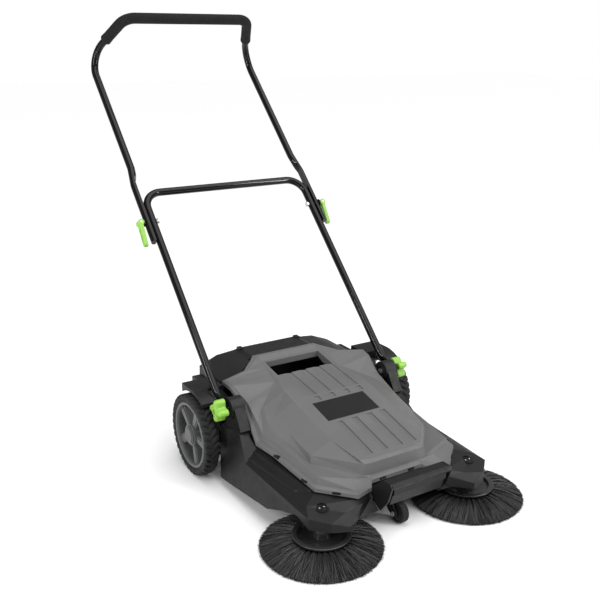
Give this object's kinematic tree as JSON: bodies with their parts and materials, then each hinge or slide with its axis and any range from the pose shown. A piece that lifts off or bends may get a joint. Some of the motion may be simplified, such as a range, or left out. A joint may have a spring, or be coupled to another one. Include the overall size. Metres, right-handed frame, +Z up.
{
  "type": "walk-behind sweeper",
  "caption": "Walk-behind floor sweeper: black housing, grey cover, large side wheels, side brushes at the nose, main roller, rear hopper and a folding tube handle with green knobs and clamps.",
  "frame": {"origin": "on the floor under the middle of the bounding box", "axes": "+Z up, -Y the direction of travel, +X the left side of someone pushing it"},
  "size_m": [0.66, 1.2568, 1.0805],
  "materials": {
    "housing_plastic": "fine spark-eroded moulding grain, matte black",
    "cover_plastic": "mid grey moulding with a fine grain",
    "plate_plastic": "satin black blank plate",
    "handle_paint": "gloss black powder coat on steel tube",
    "grip_foam": "matt closed-cell foam",
    "green_plastic": "satin lime green moulding",
    "bright_steel": "zinc-plated steel",
    "tyre_rubber": "matt black rubber",
    "hub_plastic": "grey moulded hub",
    "bush_plastic": "natural acetal",
    "inner_plastic": "dark moulded plastic",
    "belt_rubber": "black rubber",
    "bristle_nylon": "black nylon filament"
  },
  "bodies": {
    "housing": {"base_housing": "housing_plastic", "top_cover": "cover_plastic", "cover_clips": "housing_plastic", "name_plate": "plate_plastic", "front_carry_bar": "housing_plastic", "rear_dust_strip": "belt_rubber", "pivot_bolt_left": "bright_steel", "pivot_bolt_right": "bright_steel", "wheel_axle_left": "bright_steel", "wheel_axle_right": "bright_steel", "castor_socket": "housing_plastic", "roller_bearings": "bright_steel", "spindle_bearings": "bright_steel", "brush_belt_left": "belt_rubber", "brush_belt_right": "belt_rubber", "roller_belt": "belt_rubber"},
    "hopper": {"hopper_bin": "housing_plastic"},
    "lower_handle": {"lower_handle": "handle_paint", "clamp_bolt_left": "bright_steel", "clamp_bolt_right": "bright_steel"},
    "upper_handle": {"upper_handle": "handle_paint", "foam_grip": "grip_foam", "tube_end_plugs": "housing_plastic", "clamp_saddle_left": "housing_plastic", "clamp_saddle_right": "housing_plastic"},
    "star_knob_left": {"star_knob_left": "green_plastic"},
    "cam_lever_left": {"cam_lever_left": "green_plastic", "cam_pin_left": "bright_steel"},
    "wheel_left": {"tyre_left": "tyre_rubber", "wheel_rim_left": "hub_plastic", "hub_cap_left": "hub_plastic", "wheel_bush_left": "bush_plastic", "drive_pulley_left": "inner_plastic"},
    "side_brush_left": {"brush_disc_left": "inner_plastic", "brush_bristles_left": "bristle_nylon", "brush_spindle_left": "bright_steel", "brush_pulley_left": "inner_plastic"},
    "star_knob_right": {"star_knob_right": "green_plastic"},
    "cam_lever_right": {"cam_lever_right": "green_plastic", "cam_pin_right": "bright_steel"},
    "wheel_right": {"tyre_right": "tyre_rubber", "wheel_rim_right": "hub_plastic", "hub_cap_right": "hub_plastic", "wheel_bush_right": "bush_plastic", "drive_pulley_right": "inner_plastic"},
    "side_brush_right": {"brush_disc_right": "inner_plastic", "brush_bristles_right": "bristle_nylon", "brush_spindle_right": "bright_steel", "brush_pulley_right": "inner_plastic"},
    "roller": {"roller_shaft": "bright_steel", "roller_core": "inner_plastic", "roller_bristles": "bristle_nylon", "roller_pulley": "inner_plastic"},
    "castor_fork": {"castor_fork": "housing_plastic", "castor_axle": "bright_steel"},
    "castor_wheel": {"castor_hub": "inner_plastic", "castor_tyre": "tyre_rubber"}
  },
  "joints": [
    {"name": "lower_handle_fold", "type": "hinge", "parent": "housing", "child": "lower_handle", "pos_m": [0, -0.16, 0.191], "axis": [1, 0, 0], "range_deg": [0, 125]},
    {"name": "upper_handle_fold", "type": "hinge", "parent": "lower_handle", "child": "upper_handle", "pos_m": [0, 0.24, 0.561], "axis": [1, 0, 0], "range_deg": [-110, 0]},
    {"name": "cam_lever_left", "type": "hinge", "parent": "lower_handle", "child": "cam_lever_left", "pos_m": [0.2757, 0.24, 0.561], "axis": [0, -0.8339, 0.5519], "range_deg": [0, 105]},
    {"name": "star_knob_left", "type": "hinge", "parent": "housing", "child": "star_knob_left", "pos_m": [0.266, -0.16, 0.191], "axis": [1, 0, 0], "continuous": true},
    {"name": "wheel_left_spin", "type": "hinge", "parent": "housing", "child": "wheel_left", "pos_m": [0.28, -0.069, 0.1], "axis": [1, 0, 0], "continuous": true},
    {"name": "side_brush_left_spin", "type": "hinge", "parent": "housing", "child": "side_brush_left", "pos_m": [0.198, -0.501, 0.06], "axis": [0, 0, 1], "continuous": true},
    {"name": "cam_lever_right", "type": "hinge", "parent": "lower_handle", "child": "cam_lever_right", "pos_m": [-0.2757, 0.24, 0.561], "axis": [0, 0.8339, -0.5519], "range_deg": [0, 105]},
    {"name": "star_knob_right", "type": "hinge", "parent": "housing", "child": "star_knob_right", "pos_m": [-0.266, -0.16, 0.191], "axis": [1, 0, 0], "continuous": true},
    {"name": "wheel_right_spin", "type": "hinge", "parent": "housing", "child": "wheel_right", "pos_m": [-0.28, -0.069, 0.1], "axis": [1, 0, 0], "continuous": true},
    {"name": "side_brush_right_spin", "type": "hinge", "parent": "housing", "child": "side_brush_right", "pos_m": [-0.198, -0.501, 0.06], "axis": [0, 0, 1], "continuous": true},
    {"name": "roller_spin", "type": "hinge", "parent": "housing", "child": "roller", "pos_m": [0, -0.15, 0.066], "axis": [1, 0, 0], "continuous": true},
    {"name": "castor_swivel", "type": "hinge", "parent": "housing", "child": "castor_fork", "pos_m": [0, -0.48, 0.07], "axis": [0, 0, 1], "continuous": true},
    {"name": "castor_wheel_spin", "type": "hinge", "parent": "castor_fork", "child": "castor_wheel", "pos_m": [0, -0.508, 0.024], "axis": [1, 0, 0], "continuous": true},
    {"name": "hopper_slide", "type": "slide", "parent": "housing", "child": "hopper", "axis": [0, 1, 0], "range_m": [0, 0.15]}
  ],
  "couplings": [
    {"joint": "side_brush_left_spin", "follows": "wheel_left_spin", "ratio": -1.7143},
    {"joint": "side_brush_right_spin", "follows": "wheel_right_spin", "ratio": 1.7143},
    {"joint": "roller_spin", "follows": "wheel_right_spin", "ratio": 2.4286}
  ]
}
